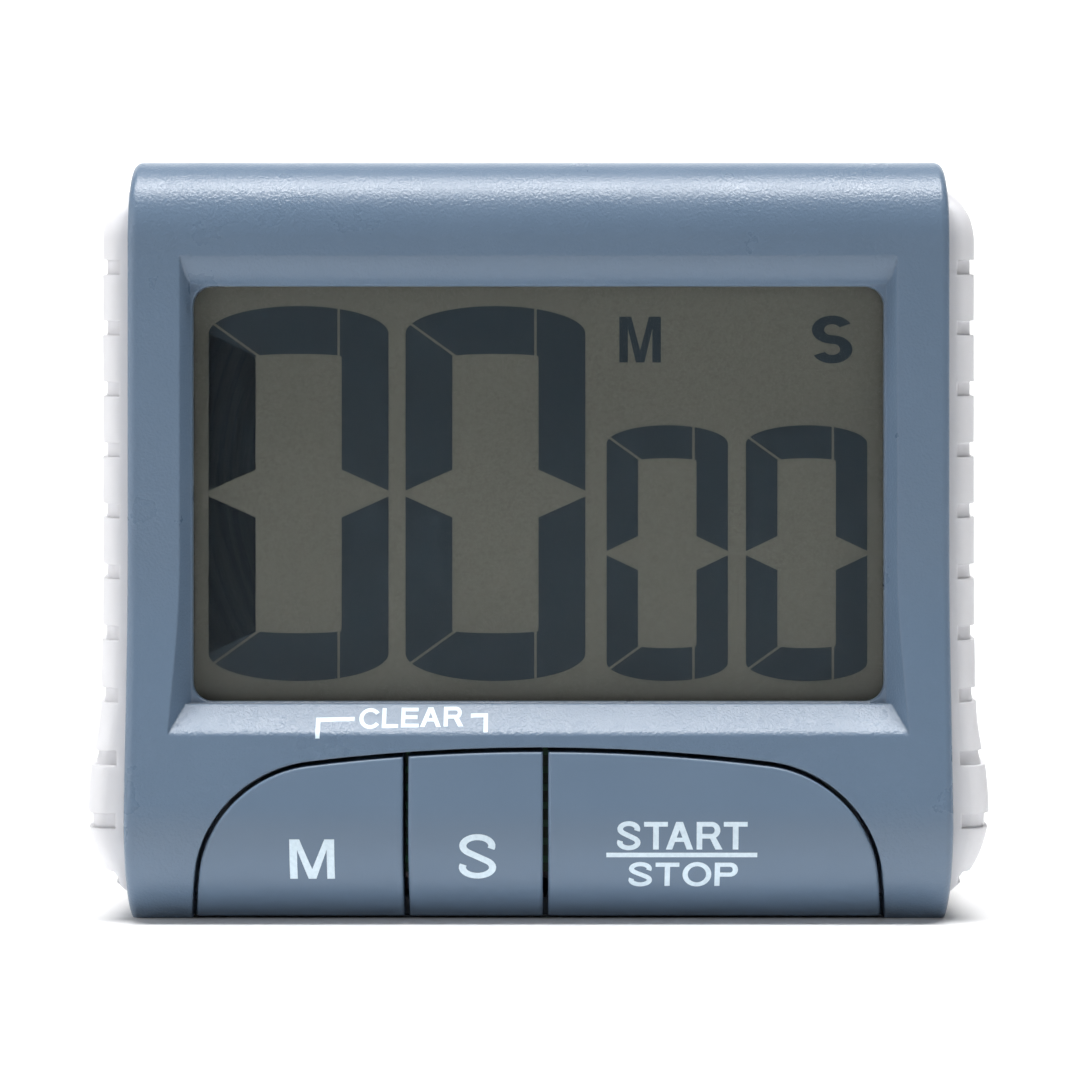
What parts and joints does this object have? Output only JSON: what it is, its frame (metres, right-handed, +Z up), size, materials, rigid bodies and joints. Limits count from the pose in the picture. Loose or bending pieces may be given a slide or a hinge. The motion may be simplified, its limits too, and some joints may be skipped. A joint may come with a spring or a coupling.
{
  "type": "digital lab timer",
  "caption": "Digital count-down timer with a large four-digit display, push keys, a fold-out stand and magnets on its back.",
  "frame": {"origin": "middle of the bounding box's bottom face", "axes": "+X to the user's right, +Y to the back, +Z up; the display faces -Y"},
  "size_m": [0.084, 0.0254, 0.0712],
  "materials": {
    "blue_grey_plastic": "fine spark-eroded texture, satin",
    "blue_grey_keys": "smooth satin",
    "white_plastic": "fine texture, satin",
    "display_film": "anti-glare film",
    "display_glass": "clear",
    "display_segments": "dark liquid-crystal bars",
    "display_reflector": "grey-green reflective film",
    "inner_plastic": "plain moulded",
    "strip_rubber": "striped conductive rubber",
    "board_green": "solder-masked board",
    "carbon": "printed carbon",
    "black_epoxy": "cured epoxy",
    "crystal_can": "drawn can",
    "capacitor_sleeve": "shrunk sleeve",
    "screw_steel": "zinc plated",
    "buzzer_brass": "rolled sheet",
    "buzzer_ceramic": "silvered ceramic",
    "wire_sleeve": "stranded wire sleeve",
    "cell_jacket": "printed jacket",
    "contact_steel": "nickel plated sheet",
    "magnet_black": "nickel plated ferrite",
    "dome_silicone": "moulded silicone",
    "legend_ink": "pad-printed ink"
  },
  "bodies": {
    "case": {"front_shell": "blue_grey_plastic", "rear_shell": "white_plastic", "lcd_front_polarizer": "display_film", "lcd_front_glass": "display_glass", "lcd_segments": "display_segments", "lcd_rear_glass": "display_glass", "lcd_reflector": "display_reflector", "lcd_holder": "inner_plastic", "connector_strip": "strip_rubber", "main_board": "board_green", "key_contacts": "carbon", "controller_blob": "black_epoxy", "watch_crystal": "crystal_can", "chip_resistors": "black_epoxy", "capacitor": "capacitor_sleeve", "board_screws": "screw_steel", "case_screws": "screw_steel", "buzzer_plate": "buzzer_brass", "buzzer_ceramic": "buzzer_ceramic", "buzzer_wires": "wire_sleeve", "battery_cell": "cell_jacket", "battery_spring": "contact_steel", "battery_contact": "contact_steel", "magnets": "magnet_black", "m_key_dome": "dome_silicone", "s_key_dome": "dome_silicone", "start_stop_key_dome": "dome_silicone"},
    "m_key": {"m_key": "blue_grey_keys", "m_key_pill": "carbon"},
    "s_key": {"s_key": "blue_grey_keys", "s_key_pill": "carbon"},
    "start_stop_key": {"start_stop_key": "blue_grey_keys", "start_stop_key_pill": "carbon"},
    "stand": {"stand_leg": "white_plastic"},
    "door": {"battery_door": "white_plastic"}
  },
  "joints": [
    {"name": "m_key_press", "type": "slide", "parent": "case", "child": "m_key", "axis": [0, 1, 0], "range_m": [0, 0.0007], "stiffness_N_per_m": 400, "springref_m": -0.002, "deforming": ["m_key_dome"]},
    {"name": "s_key_press", "type": "slide", "parent": "case", "child": "s_key", "axis": [0, 1, 0], "range_m": [0, 0.0007], "stiffness_N_per_m": 400, "springref_m": -0.002, "deforming": ["s_key_dome"]},
    {"name": "start_stop_key_press", "type": "slide", "parent": "case", "child": "start_stop_key", "axis": [0, 1, 0], "range_m": [0, 0.0007], "stiffness_N_per_m": 400, "springref_m": -0.002, "deforming": ["start_stop_key_dome"]},
    {"name": "stand_hinge", "type": "hinge", "parent": "case", "child": "stand", "pos_m": [0, 0.01148, 0.049], "axis": [1, 0, 0], "range_deg": [0, 62]},
    {"name": "battery_door_hinge", "type": "hinge", "parent": "case", "child": "door", "pos_m": [0, 0.01218, 0.0057], "axis": [-1, 0, 0], "range_deg": [0, 70]}
  ]
}
